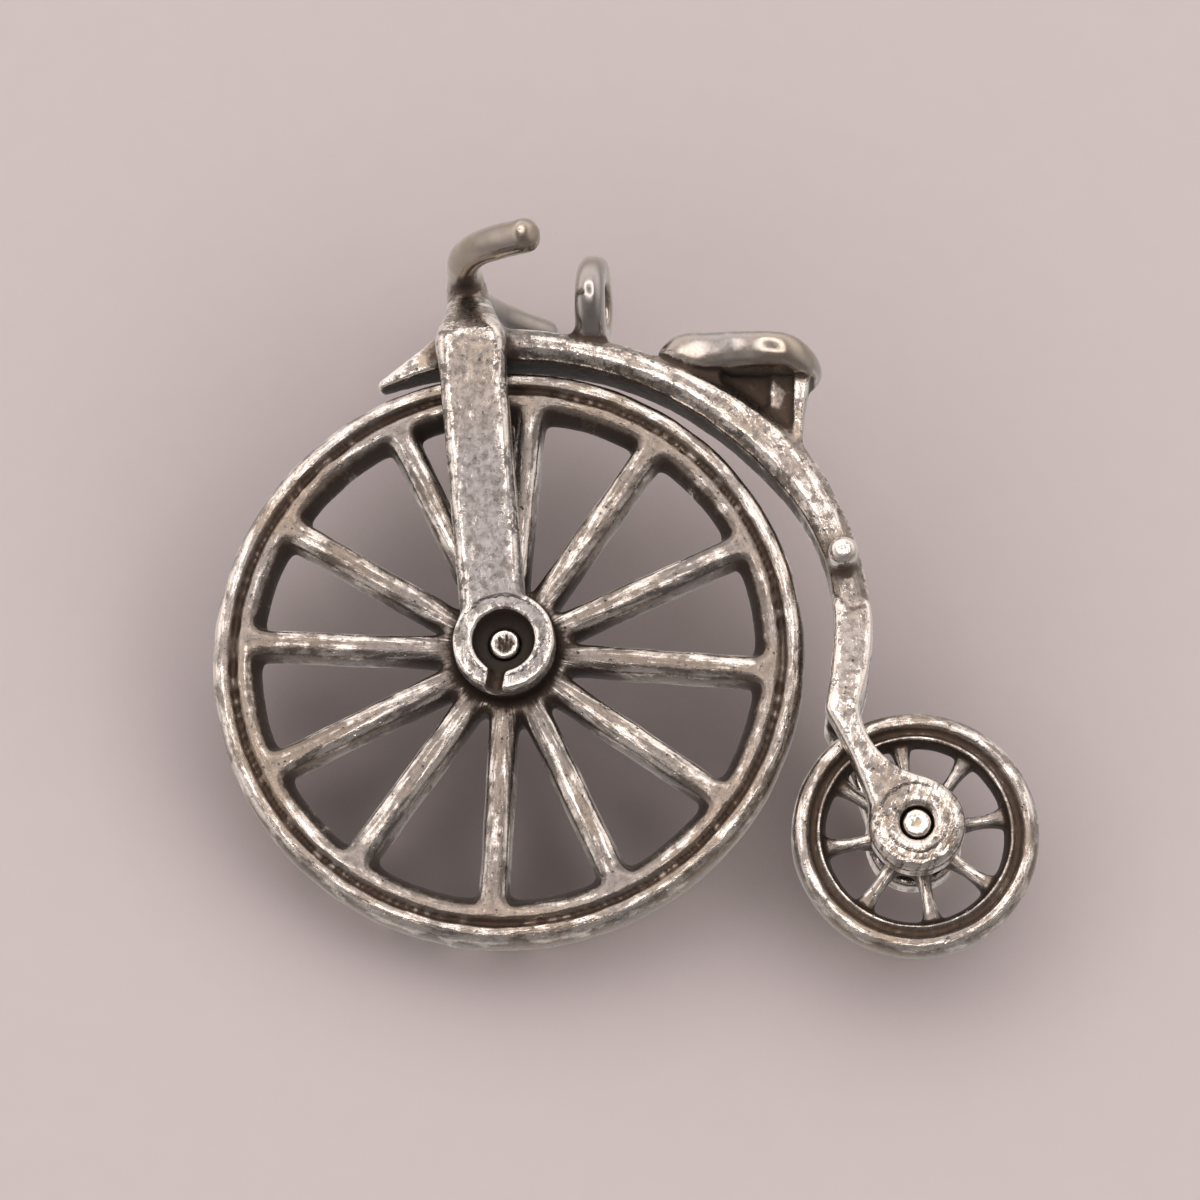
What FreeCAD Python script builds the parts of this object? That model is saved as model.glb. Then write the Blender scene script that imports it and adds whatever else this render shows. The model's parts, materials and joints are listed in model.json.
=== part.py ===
"""Cast silver charm in the form of a penny farthing bicycle, in millimetres.

The bicycle heads towards -X with +Z up, so its left side faces -Y. Everything is laid out from the
front axle and moved at the end, so that the origin lies at the centre of the bail's hole. The frame,
fork, saddle and bail are one rigid casting in life, and each of its members is a solid of its own
here. Two wheels turn on pins that are fixed in the ends of the fork and of the rear legs.
"""
import FreeCAD, Part
import math
import os

V = FreeCAD.Vector
Y_AXIS = V(0, 1, 0)
Z_AXIS = V(0, 0, 1)
ORIGIN = V(0, 0, 0)
SIDES = (("left", -1), ("right", 1))

# ---- Driving dimensions, in millimetres and degrees ---------------------------------------------

# Front wheel. Depths run inwards from the tread: tyre to groove, groove to the rim's inner edge.
FRONT_R = 9.0
FRONT_HALF_WIDTH = 0.78
FRONT_TREAD_HALF = 0.52
FRONT_TREAD_CROWN = 0.20
FRONT_TYRE_DEPTH = 0.68
FRONT_RIM_DEPTH = 0.47
FRONT_RIM_DRAFT = 0.40
FRONT_GROOVE_HALF = 0.11
FRONT_GROOVE_DEPTH = 0.13
FRONT_HUB_R = 1.95
FRONT_HUB_HALF = 0.95
FRONT_HUB_FACE_DROP = 0.20
FRONT_SPOKE_WIDTH = 0.93
FRONT_SPOKE_DEPTH = 1.44
FRONT_SPOKE_FACE_SHARE = 0.86
FRONT_SPOKE_PHASE = 27.3
# How far each spoke was set from an even spacing when the pattern for the casting was cut
FRONT_SPOKE_OFFSETS = (-1.1, 0.0, -0.6, -0.1, 3.4, 1.2, 0.5, -0.9, 1.7, -0.6, -1.0, -0.6)

# Rear wheel
REAR_R = 3.67
REAR_HALF_WIDTH = 0.65
REAR_TREAD_HALF = 0.38
REAR_TREAD_CROWN = 0.16
REAR_TYRE_DEPTH = 0.63
REAR_RIM_DEPTH = 0.24
REAR_RIM_DRAFT = 0.18
REAR_GROOVE_HALF = 0.12
REAR_GROOVE_DEPTH = 0.13
REAR_HUB_R = 1.25
REAR_HUB_HALF = 0.76
REAR_SPOKE_WIDTH = 0.36
REAR_SPOKE_FLARE = 0.16
REAR_WEB_HALF = 0.33
REAR_SPOKE_PHASE = 10.9
REAR_SPOKE_OFFSETS = (1.2, 0.4, -1.5, 0.7, -0.9, -0.1, 0.4, -0.3)
REAR_AXLE_SETBACK = 3.32

# Axle pins and their fits
FRONT_PIN_R = 0.47
REAR_PIN_R = 0.41
PIN_RUNNING_CLEARANCE = 0.04
PIN_SEAT_CLEARANCE = 0.01
FRONT_PIN_PROUD = 0.12
REAR_PIN_PROUD = 0.48

# Front fork: two flat straps with open, C-shaped eyelets
FORK_LEAN = 8.3
FORK_END_PLAY = 0.10
FORK_THICKNESS = 0.92
FORK_WIDTH_TOP = 2.06
FORK_WIDTH_FOOT = 1.99
FORK_FOOT_OFFSET = -0.22
FORK_BEVEL = 0.22
FORK_EYELET_WALL = 0.60
FORK_EYELET_HOLE_R = 0.94
FORK_EYELET_FLOOR = 0.30
FORK_EYELET_SLOT = 0.46
FORK_EYELET_SLOT_ANGLE = -99.0

# Steering head and handlebar
CROWN_CLEARANCE = 0.45
CROWN_CHEEK = 0.42
CROWN_SHOULDER = 0.50
CROWN_SHOULDER_SHARE = 0.84
CROWN_TAPER = 1.15
STEM_R = 0.60
HANDLEBAR_RISE = 3.22
HANDLEBAR_STRAIGHT_HALF = 0.80
HANDLEBAR_SWEEP_R = 3.52
HANDLEBAR_SWEEP_ANGLE = 50.0
HANDLEBAR_GRIP = 1.62
HANDLEBAR_DROOP = 6.0
HANDLEBAR_R = 0.535
HANDLEBAR_END_BEVEL = 0.24

# Backbone: a curved bar that follows the front wheel, with a wedge-shaped tip ahead of the fork
BACKBONE_HALF_DEPTH = 1.00
BACKBONE_BEVEL = 0.34
BACKBONE_UNDER_BEVEL = 0.30
BACKBONE_TOP_GAP = 0.33
BACKBONE_TOP_HEIGHT = 1.04
# Columns: angle above the front axle, gap to the tyre, height of the bar
BACKBONE_STATIONS = (
    (52.0, 0.48, 1.30),
    (30.0, 0.84, 1.26),
    (9.6, 0.98, 1.08),
)
BACKBONE_FOOT_GAP = 0.60
BACKBONE_FOOT_HEIGHT = 0.98
BACKBONE_TIP_REACH = 4.25
BACKBONE_TIP_GAP = 0.46
BACKBONE_TIP_HEIGHT = 0.24
BACKBONE_TIP_HALF_DEPTH = 0.40
BACKBONE_TIP_EDGE_R = 0.08
WHEEL_CLEARANCE = 0.30

# Rear legs
REAR_LEG_END_PLAY = 0.10
REAR_LEG_THICKNESS = 1.04
REAR_LEG_SPLAY = 3.55
REAR_LEG_FRONT_HOLLOW = 0.10
REAR_LEG_BACK_HOLLOW = 0.56
REAR_LEG_FRONT_ANGLE = 160.0
REAR_LEG_BACK_ANGLE = 70.0
REAR_EYELET_WALL = 0.85
REAR_EYELET_HOLE_R = 0.57
REAR_EYELET_BEVEL = 0.24
REAR_EYELET_FLOOR = 0.40
REAR_KNEE_DROP = 0.20

# Mounting step on the left of the backbone
STEP_R = 0.44
STEP_LENGTH = 1.10
STEP_END_BEVEL = 0.18
STEP_ANGLE = 16.2

# Saddle and what carries it
SADDLE_NOSE_ANGLE = 64.9
SADDLE_RISE = 1.20
SADDLE_LENGTH = 4.97
SADDLE_THICKNESS = 0.98
SADDLE_DROP = 0.27
SADDLE_NOSE_HALF = 0.75
SADDLE_REAR_HALF = 1.50
SADDLE_WEB_HALF = 0.30
SADDLE_BLOCK_HALF = 0.70
SADDLE_POST_HALF = 0.50
SADDLE_FLANGE_HALF = 0.80
SADDLE_FLANGE = 0.32

# Bail: a wire ring across the backbone, set a little askew
BAIL_ANGLE = 77.25
BAIL_RISE = 1.28
BAIL_HOLE_R = 0.70
BAIL_WALL = 0.85
BAIL_WIDTH = 0.88
BAIL_BEVEL = 0.22
BAIL_TWIST = 4.6

# ---- Derived places -----------------------------------------------------------------------------

REAR_AXLE = V(FRONT_R + REAR_AXLE_SETBACK, 0, REAR_R - FRONT_R)
FORK_INNER_Y = FRONT_HUB_HALF + FORK_END_PLAY
FORK_OUTER_Y = FORK_INNER_Y + FORK_THICKNESS
FORK_EYELET_R = FORK_EYELET_HOLE_R + FORK_EYELET_WALL
REAR_LEG_INNER_Y = REAR_HUB_HALF + REAR_LEG_END_PLAY
REAR_LEG_OUTER_Y = REAR_LEG_INNER_Y + REAR_LEG_THICKNESS
REAR_EYELET_R = REAR_EYELET_HOLE_R + REAR_EYELET_WALL
REAR_KNEE_Z = REAR_AXLE.z + REAR_R - REAR_KNEE_DROP
BACKBONE_TOP_R = FRONT_R + BACKBONE_TOP_GAP
BACKBONE_FOOT = V(FRONT_R + BACKBONE_FOOT_GAP, 0, REAR_KNEE_Z)
BACKBONE_HEEL = V(BACKBONE_FOOT.x + BACKBONE_FOOT_HEIGHT, 0, REAR_KNEE_Z)
BACKBONE_TIP_ANGLE = 90 + math.degrees(BACKBONE_TIP_REACH / FRONT_R)
CROWN_BOTTOM = FRONT_R + CROWN_CLEARANCE
HANDLEBAR_Z = FRONT_R + HANDLEBAR_RISE
STEM_TOP_X = -HANDLEBAR_Z * math.tan(math.radians(FORK_LEAN))
SADDLE_FRONT_X = (BACKBONE_TOP_R + BACKBONE_TOP_HEIGHT) * math.cos(math.radians(SADDLE_NOSE_ANGLE))
SADDLE_REAR_X = SADDLE_FRONT_X + SADDLE_LENGTH
SADDLE_POST_X = SADDLE_REAR_X - SADDLE_LENGTH * 0.31
SADDLE_TOP_Z = FRONT_R + SADDLE_RISE
BAIL_SEAT_R = BACKBONE_TOP_R + BACKBONE_TOP_HEIGHT
BAIL_X = BAIL_SEAT_R * math.cos(math.radians(BAIL_ANGLE))
BAIL_Z = BAIL_SEAT_R * math.sin(math.radians(BAIL_ANGLE)) + BAIL_RISE


# ---- Helpers ------------------------------------------------------------------------------------

def xz(x, z):
    return V(x, 0, z)


def polar(radius, degrees):
    """Point in the XZ plane at this radius and angle from +X."""
    return xz(radius * math.cos(math.radians(degrees)), radius * math.sin(math.radians(degrees)))


def line(a, b):
    return Part.LineSegment(a, b).toShape()


def lines(points):
    return [line(a, b) for a, b in zip(points, points[1:])]


def arc_through(a, b, c):
    return Part.Arc(a, b, c).toShape()


def bowed(a, b, sag):
    """Arc from a to b in XZ that stands this far off its chord, to the left when sag is positive."""
    chord = b.sub(a)
    across = V(-chord.z, 0, chord.x) * (1 / chord.Length)
    return arc_through(a, a.add(b) * 0.5 + across * sag, b)


def tangent_chain(start, heading, stops):
    """Arcs in XZ that run on smoothly from start, leaving it along heading, through each stop."""
    edges = []
    for stop in stops:
        chord = stop.sub(start)
        normal = V(-heading.z, 0, heading.x)
        radius = chord.dot(chord) / (2 * chord.dot(normal))
        centre = start.add(normal * radius)
        bulge = start.add(stop) * 0.5 - centre
        bulge.normalize()
        edges.append(arc_through(start, centre.add(bulge * abs(radius)), stop))
        spoke = stop.sub(centre) * (1 / radius)
        heading = V(-spoke.z, 0, spoke.x)
        start = stop
    return edges


def polygon_face(points):
    return Part.Face(Part.makePolygon(points + points[:1]))


def prism(outline, half_depth):
    """Solid across the bicycle's middle plane, from a closed outline of points in XZ."""
    return edge_prism(lines(outline + outline[:1]), -half_depth, half_depth)


def edge_prism(edges, y_from, y_to):
    """Solid between two planes of constant Y, from edges drawn in the plane y = 0."""
    face = Part.Face(Part.Wire(Part.__sortEdges__(edges)))
    return face.translated(V(0, y_from, 0)).extrude(V(0, y_to - y_from, 0))


def disc(radius, y_from, y_to, centre=ORIGIN):
    """Cylinder about an axis along Y."""
    return Part.makeCylinder(radius, y_to - y_from, V(centre.x, y_from, centre.z), Y_AXIS)


def revolved(profile):
    """Ring about the Y axis from a list of edges in the XY plane, x being the radius."""
    return Part.Face(Part.Wire(profile)).revolve(ORIGIN, Y_AXIS, 360)


def on_side(shape, side):
    """The shape as modelled on the left, or its mirror image on the right."""
    return shape if side < 0 else shape.mirror(ORIGIN, Y_AXIS)


def leaning(shape):
    """Turns what was built upright over the front axle to the fork's lean."""
    return shape.rotated(ORIGIN, Y_AXIS, -FORK_LEAN)


def largest(shape):
    return max(shape.Solids, key=lambda solid: solid.Volume)


# ---- Wheels -------------------------------------------------------------------------------------

def rim(outer_r, half, tread_half, crown, tyre_depth, rim_depth, draft, groove_half, groove_depth):
    """Tyre and rim in one ring, a groove in each face between them, drafted inside."""
    groove_r = outer_r - tyre_depth
    inner_r = groove_r - rim_depth
    face = half * 0.93
    side = [
        V(inner_r - draft, 0, 0),
        V(inner_r, face, 0),
        V(groove_r - groove_half, face, 0),
        V(groove_r, face - groove_depth, 0),
        V(groove_r + groove_half, half, 0),
        V(outer_r - crown, half, 0),
        V(outer_r, tread_half, 0),
    ]
    mirrored = [V(p.x, -p.y, 0) for p in side[:0:-1]]
    return revolved(lines(side + mirrored + side[:1]))


def hub(radius, half, bore_r, body_half):
    """Hub with a narrower boss at each end and a bore for the pin."""
    boss_r = (bore_r + radius) / 2
    side = [V(bore_r, half, 0), V(boss_r, half, 0), V(boss_r, body_half, 0), V(radius, body_half, 0)]
    mirrored = [V(p.x, -p.y, 0) for p in side[::-1]]
    return revolved(lines(side + mirrored + side[:1]))


def front_spoke():
    """One spoke along +X, drafted from its middle to both faces, from inside the hub to the rim."""
    half_w = FRONT_SPOKE_WIDTH / 2
    half_d = FRONT_SPOKE_DEPTH / 2
    inner = FRONT_HUB_R * 0.8
    outer = FRONT_R - FRONT_TYRE_DEPTH - FRONT_RIM_DEPTH - FRONT_RIM_DRAFT / 2
    face = half_w * FRONT_SPOKE_FACE_SHARE
    loop = [(half_w, 0), (face, half_d), (-face, half_d), (-half_w, 0), (-face, -half_d), (face, -half_d)]
    return polygon_face([V(inner, y, z) for z, y in loop]).extrude(V(outer - inner, 0, 0))


def front_wheel():
    bore_r = FRONT_PIN_R + PIN_RUNNING_CLEARANCE
    spoke = front_spoke()
    pieces = [hub(FRONT_HUB_R, FRONT_HUB_HALF, bore_r, FRONT_SPOKE_DEPTH / 2 - FRONT_HUB_FACE_DROP)]
    spacing = 360 / len(FRONT_SPOKE_OFFSETS)
    for number, offset in enumerate(FRONT_SPOKE_OFFSETS):
        angle = FRONT_SPOKE_PHASE + number * spacing + offset
        pieces.append(spoke.rotated(ORIGIN, Y_AXIS, -angle))
    ring = rim(
        FRONT_R, FRONT_HALF_WIDTH, FRONT_TREAD_HALF, FRONT_TREAD_CROWN, FRONT_TYRE_DEPTH,
        FRONT_RIM_DEPTH, FRONT_RIM_DRAFT, FRONT_GROOVE_HALF, FRONT_GROOVE_DEPTH,
    )
    return ring.fuse(pieces).removeSplitter()


def rear_spoke(inner, outer):
    """One thin spoke along +X that flares into the hub and into the rim."""
    half = REAR_SPOKE_WIDTH / 2
    wide = half + REAR_SPOKE_FLARE
    middle = (inner + outer) / 2
    above = arc_through(xz(inner, wide), xz(middle, half), xz(outer, wide))
    below = arc_through(xz(inner, -wide), xz(middle, -half), xz(outer, -wide))
    ends = [line(xz(inner, wide), xz(inner, -wide)), line(xz(outer, wide), xz(outer, -wide))]
    return edge_prism([above, below] + ends, -REAR_WEB_HALF, REAR_WEB_HALF)


def rear_wheel():
    bore_r = REAR_PIN_R + PIN_RUNNING_CLEARANCE
    inner_r = REAR_R - REAR_TYRE_DEPTH - REAR_RIM_DEPTH
    spoke = rear_spoke(REAR_HUB_R * 0.85, inner_r - REAR_RIM_DRAFT * 0.4)
    pieces = [hub(REAR_HUB_R, REAR_HUB_HALF, bore_r, REAR_WEB_HALF)]
    spacing = 360 / len(REAR_SPOKE_OFFSETS)
    for number, offset in enumerate(REAR_SPOKE_OFFSETS):
        angle = REAR_SPOKE_PHASE + number * spacing + offset
        pieces.append(spoke.rotated(ORIGIN, Y_AXIS, -angle))
    ring = rim(
        REAR_R, REAR_HALF_WIDTH, REAR_TREAD_HALF, REAR_TREAD_CROWN, REAR_TYRE_DEPTH,
        REAR_RIM_DEPTH, REAR_RIM_DRAFT, REAR_GROOVE_HALF, REAR_GROOVE_DEPTH,
    )
    return ring.fuse(pieces).removeSplitter().translated(REAR_AXLE)


def axle_pin(radius, half_length, centre):
    return disc(radius, -half_length, half_length, centre)


# ---- Front fork, head and handlebar -------------------------------------------------------------

def fork_leg(side):
    """Flat strap with bevelled outer edges, ending in a C-shaped eyelet that holds the pin."""
    outer = -FORK_OUTER_Y
    inner = -FORK_INNER_Y

    def section(width, shift, height):
        half = width / 2
        half_profile = [(half, inner), (half, outer + FORK_BEVEL), (half - FORK_BEVEL, outer)]
        profile = half_profile + [(-x, y) for x, y in half_profile[::-1]]
        points = [V(shift + x, y, height) for x, y in profile]
        return Part.makePolygon(points + points[:1])

    foot = section(FORK_WIDTH_FOOT, FORK_FOOT_OFFSET, FORK_EYELET_R * 0.7)
    strap = Part.makeLoft([foot, section(FORK_WIDTH_TOP, 0, CROWN_BOTTOM)], True, True)
    eyelet = disc(FORK_EYELET_R, outer, inner)
    floor_y = inner - FORK_EYELET_FLOOR
    recess = disc(FORK_EYELET_HOLE_R, outer, floor_y)
    slot_corner = V(0, outer, -FORK_EYELET_SLOT / 2)
    slot = Part.makeBox(FORK_EYELET_R * 2, floor_y - outer, FORK_EYELET_SLOT, slot_corner)
    slot.rotate(ORIGIN, Y_AXIS, -FORK_EYELET_SLOT_ANGLE)
    seat = disc(FRONT_PIN_R + PIN_SEAT_CLEARANCE, outer, inner)
    leg = leaning(strap).fuse(eyelet).cut([recess, slot, seat])
    return on_side(leg.removeSplitter(), side)


def handlebar():
    """Round bar: straight at the stem, bent back on each side and straight again at the grips."""
    half = HANDLEBAR_STRAIGHT_HALF
    sweep = math.radians(HANDLEBAR_SWEEP_ANGLE)
    middle = xz(STEM_TOP_X, HANDLEBAR_Z)
    centre = V(STEM_TOP_X + HANDLEBAR_SWEEP_R, -half, HANDLEBAR_Z)
    bend = Part.makeTorus(
        HANDLEBAR_SWEEP_R, HANDLEBAR_R, centre, Z_AXIS, -180, 180, HANDLEBAR_SWEEP_ANGLE,
    )
    bend.rotate(centre, Z_AXIS, 180)
    grip_start = centre.sub(V(math.cos(sweep), math.sin(sweep), 0) * HANDLEBAR_SWEEP_R)
    grip = Part.makeCylinder(HANDLEBAR_R, HANDLEBAR_GRIP, grip_start, V(math.sin(sweep), -math.cos(sweep), 0))
    ends = [e for e in grip.Edges if len(e.Vertexes) == 1]
    grip = grip.makeChamfer(HANDLEBAR_END_BEVEL, [min(ends, key=lambda e: e.BoundBox.YMin)])
    arm = bend.fuse(grip)
    bar = disc(HANDLEBAR_R, -half, half, middle).fuse([arm, on_side(arm, 1)]).removeSplitter()
    return bar.rotated(middle, Y_AXIS, HANDLEBAR_DROOP)


def steering_head(spine, bar):
    """Crown that straddles the backbone and carries both legs, drawn up into the round stem."""
    def section(half_x, half_y, bevel, height):
        quarter = [(half_x, half_y - bevel), (half_x - bevel, half_y)]
        half = quarter + [(-x, y) for x, y in quarter[::-1]]
        points = [V(x, y, height) for x, y in half + [(-x, -y) for x, y in half]]
        return Part.makePolygon(points + points[:1])

    half_x = FORK_WIDTH_TOP / 2
    share = CROWN_SHOULDER_SHARE
    cheek_top = CROWN_BOTTOM + CROWN_CHEEK
    shoulder = cheek_top + CROWN_SHOULDER
    neck = shoulder + CROWN_TAPER
    crown = Part.makeLoft([
        section(half_x, FORK_OUTER_Y, FORK_BEVEL, CROWN_BOTTOM),
        section(half_x, FORK_OUTER_Y, FORK_BEVEL, cheek_top),
        section(half_x * share, FORK_OUTER_Y * share, FORK_BEVEL * share, shoulder),
        section(STEM_R, STEM_R, STEM_R * 0.58, neck),
    ], True, True)
    top = HANDLEBAR_Z / math.cos(math.radians(FORK_LEAN))
    stem = Part.makeCylinder(STEM_R, top - neck, V(0, 0, neck))
    head = leaning(crown.fuse(stem))
    slot = disc(CROWN_BOTTOM, -FORK_INNER_Y, FORK_INNER_Y)
    return largest(head.cut([slot, spine, bar]).removeSplitter())


# ---- Backbone -----------------------------------------------------------------------------------

def backbone_outline():
    """Edges of the backbone's side view: underside, back and the rest round its tip and foot."""
    inner = [polar(FRONT_R + gap, angle) for angle, gap, _ in BACKBONE_STATIONS]
    outer = [polar(FRONT_R + gap + height, angle) for angle, gap, height in BACKBONE_STATIONS]
    top_in = xz(0, BACKBONE_TOP_R)
    top_out = xz(0, BACKBONE_TOP_R + BACKBONE_TOP_HEIGHT)
    tip_r = FRONT_R + BACKBONE_TIP_GAP
    tip_in = polar(tip_r, BACKBONE_TIP_ANGLE)
    tip_out = polar(tip_r + BACKBONE_TIP_HEIGHT, BACKBONE_TIP_ANGLE)
    brow = xz(tip_out.x / 2, top_out.z - BACKBONE_TIP_HEIGHT / 4)
    under_tip = tangent_chain(top_in, V(-1, 0, 0), [tip_in])
    underside = tangent_chain(top_in, V(1, 0, 0), inner + [BACKBONE_FOOT])
    back = tangent_chain(top_out, V(1, 0, -0.04), outer + [BACKBONE_HEEL])
    ends = lines([top_out, brow, tip_out, tip_in]) + [line(BACKBONE_FOOT, BACKBONE_HEEL)]
    return underside, back, under_tip + ends


def backbone():
    """Curved bar with bevelled edges, from its tip over the wheel and down to the rear legs."""
    underside, back, ends = backbone_outline()
    bar = edge_prism(underside + back + ends, -BACKBONE_HALF_DEPTH, BACKBONE_HALF_DEPTH)
    bar = bar.makeChamfer(BACKBONE_BEVEL, edges_along(bar, back))
    bar = bar.makeChamfer(BACKBONE_UNDER_BEVEL, edges_along(bar, underside[1:]))
    over_wheel = disc(REAR_R + WHEEL_CLEARANCE, -BACKBONE_HALF_DEPTH, BACKBONE_HALF_DEPTH, REAR_AXLE)
    bar = bar.cut([over_wheel] + [on_side(beside_tip(), side) for _, side in SIDES])
    across = [edge for edge in bar.Edges if edge.BoundBox.XLength < 1e-6]
    tip = sorted(across, key=lambda edge: middle_of(edge).x)[:2]
    return largest(bar.makeFillet(BACKBONE_TIP_EDGE_R, tip))


def beside_tip():
    """What is cut away on the left of the tip, so that it narrows from the crown forwards."""
    start = -FORK_WIDTH_TOP / 2
    end = -BACKBONE_TIP_REACH
    beyond = end * 1.5
    slope = (BACKBONE_HALF_DEPTH - BACKBONE_TIP_HALF_DEPTH) / (start - end)
    narrow = BACKBONE_HALF_DEPTH - slope * (start - beyond)
    corners = [V(start, -BACKBONE_HALF_DEPTH, 0), V(beyond, -narrow, 0), V(beyond, -BACKBONE_HALF_DEPTH, 0)]
    return polygon_face(corners).extrude(V(0, 0, BACKBONE_TOP_R * 2))


def middle_of(edge):
    return edge.valueAt((edge.FirstParameter + edge.LastParameter) / 2)


def edges_along(bar, drawn):
    """Edges on both faces of the bar that follow edges of the outline it was drawn from."""
    def follows(edge):
        middle = middle_of(edge)
        flat = [middle.sub(V(0, middle.y, 0)).sub(middle_of(other)).Length for other in drawn]
        return edge.BoundBox.YLength < 1e-6 and min(flat) < 1e-6

    return [edge for edge in bar.Edges if follows(edge)]


def backbone_slice(spine, x):
    """Bounds of the backbone in a thin slice at this x."""
    thin = FRONT_R / 1000
    return spine.common(Part.makeBox(thin, thin, 3 * FRONT_R, V(x, 0, 0))).BoundBox


# ---- Rear legs ----------------------------------------------------------------------------------

def rear_leg(spine, side):
    """Leg that grows out of the backbone's side and sweeps back to an eyelet on the rear axle."""
    outer = -REAR_LEG_OUTER_Y
    inner = -REAR_LEG_INNER_Y
    top_z = REAR_KNEE_Z + REAR_LEG_SPLAY
    low_z = REAR_AXLE.z - REAR_R
    underside, back, ends = backbone_outline()
    corner = V(0, outer, REAR_KNEE_Z)
    above_knee = Part.makeBox(REAR_AXLE.x, REAR_LEG_THICKNESS, REAR_LEG_SPLAY, corner)
    upright = edge_prism(underside + back + ends, outer, inner).common(above_knee)
    front = REAR_AXLE.add(polar(REAR_EYELET_R, REAR_LEG_FRONT_ANGLE))
    rear = REAR_AXLE.add(polar(REAR_EYELET_R, REAR_LEG_BACK_ANGLE))
    strap = edge_prism([
        line(BACKBONE_FOOT, BACKBONE_HEEL),
        bowed(BACKBONE_HEEL, rear, -REAR_LEG_BACK_HOLLOW),
        line(rear, front),
        bowed(front, BACKBONE_FOOT, -REAR_LEG_FRONT_HOLLOW),
    ], outer, inner)
    eyelet = disc(REAR_EYELET_R, outer, inner, REAR_AXLE)
    rims = [e for e in eyelet.Edges if len(e.Vertexes) == 1]
    eyelet = eyelet.makeChamfer(REAR_EYELET_BEVEL, [min(rims, key=lambda e: e.BoundBox.YMin)])
    profile = [(inner, top_z), (-BACKBONE_HALF_DEPTH, top_z), (outer, REAR_KNEE_Z),
               (outer, low_z), (inner, low_z)]
    splayed = polygon_face([V(0, y, z) for y, z in profile]).extrude(V(2 * REAR_AXLE.x, 0, 0))
    recess = disc(REAR_EYELET_HOLE_R, outer, inner - REAR_EYELET_FLOOR, REAR_AXLE)
    seat = disc(REAR_PIN_R + PIN_SEAT_CLEARANCE, outer, inner, REAR_AXLE)
    leg = upright.fuse([strap, eyelet]).common(splayed).cut([recess, seat, spine])
    return on_side(largest(leg.removeSplitter()), side)


# ---- Step, saddle and bail ----------------------------------------------------------------------

def step(spine):
    """Short round peg with a bevelled end, on the left side of the backbone."""
    height = FRONT_R + BACKBONE_STATIONS[-1][1] + BACKBONE_STATIONS[-1][2] / 2
    end = -BACKBONE_HALF_DEPTH - STEP_LENGTH
    peg = disc(STEP_R, end, -BACKBONE_HALF_DEPTH + BACKBONE_BEVEL, polar(height, STEP_ANGLE))
    rims = [e for e in peg.Edges if len(e.Vertexes) == 1]
    peg = peg.makeChamfer(STEP_END_BEVEL, [min(rims, key=lambda e: e.BoundBox.YMin)])
    return largest(peg.cut(spine))


def saddle():
    """Padded seat: nearly level on top, turned down behind, narrow at the nose."""
    front, rear, top, long = SADDLE_FRONT_X, SADDLE_REAR_X, SADDLE_TOP_Z, SADDLE_LENGTH
    thick = SADDLE_THICKNESS
    tail = top - thick - SADDLE_DROP
    nose_tip = xz(front, top - thick * 0.5)
    rear_top = xz(rear - long * 0.24, top - thick * 0.18)
    rear_edge = xz(rear, top - thick * 0.88)
    tail_in = xz(rear - long * 0.10, tail + thick * 0.05)
    rear_under = xz(rear - long * 0.32, top - thick * 1.10)
    outline = [
        arc_through(nose_tip, xz(front + long * 0.06, top - thick * 0.15), xz(front + long * 0.22, top)),
        line(xz(front + long * 0.22, top), rear_top),
        arc_through(rear_top, xz(rear - long * 0.07, top - thick * 0.50), rear_edge),
        arc_through(rear_edge, xz(rear - long * 0.03, tail), tail_in),
        line(tail_in, rear_under),
        line(rear_under, xz(front + long * 0.12, top - thick)),
        line(xz(front + long * 0.12, top - thick), nose_tip),
    ]
    side_view = edge_prism(outline, -SADDLE_REAR_HALF, SADDLE_REAR_HALF)
    nose, wide = SADDLE_NOSE_HALF, SADDLE_REAR_HALF
    corners = [V(front + long * 0.14, -nose, 0), V(rear - long * 0.42, -wide * 0.92, 0),
               V(rear - long * 0.11, -wide * 0.78, 0)]
    left = [
        arc_through(V(front, 0, 0), V(front + long * 0.04, -nose * 0.75, 0), corners[0]),
        line(corners[0], corners[1]),
        arc_through(corners[1], V(rear - long * 0.24, -wide, 0), corners[2]),
        arc_through(corners[2], V(rear - long * 0.03, -wide * 0.42, 0), V(rear, 0, 0)),
    ]
    right = [edge.mirror(ORIGIN, Y_AXIS) for edge in left]
    plan = Part.Face(Part.Wire(Part.__sortEdges__(left + right)))
    plan.translate(V(0, 0, tail - thick))
    return side_view.common(plan.extrude(V(0, 0, top - tail + 2 * thick))).removeSplitter()


def saddle_front_support(spine, seat):
    """Block under the saddle's nose with a thin web behind it, down to the backbone."""
    start = SADDLE_FRONT_X + SADDLE_LENGTH * 0.08
    split = SADDLE_FRONT_X + SADDLE_LENGTH * 0.38
    end = SADDLE_POST_X
    high = SADDLE_TOP_Z - SADDLE_THICKNESS * 0.5
    low = FRONT_R * 0.7
    block = prism([xz(start, high), xz(start, low), xz(split, low), xz(split, high)], SADDLE_BLOCK_HALF)
    web = prism([xz(split, high), xz(split, low), xz(end, low), xz(end, high)], SADDLE_WEB_HALF)
    return largest(block.fuse(web).cut([spine, seat, inside_backbone()]).removeSplitter())


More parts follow.
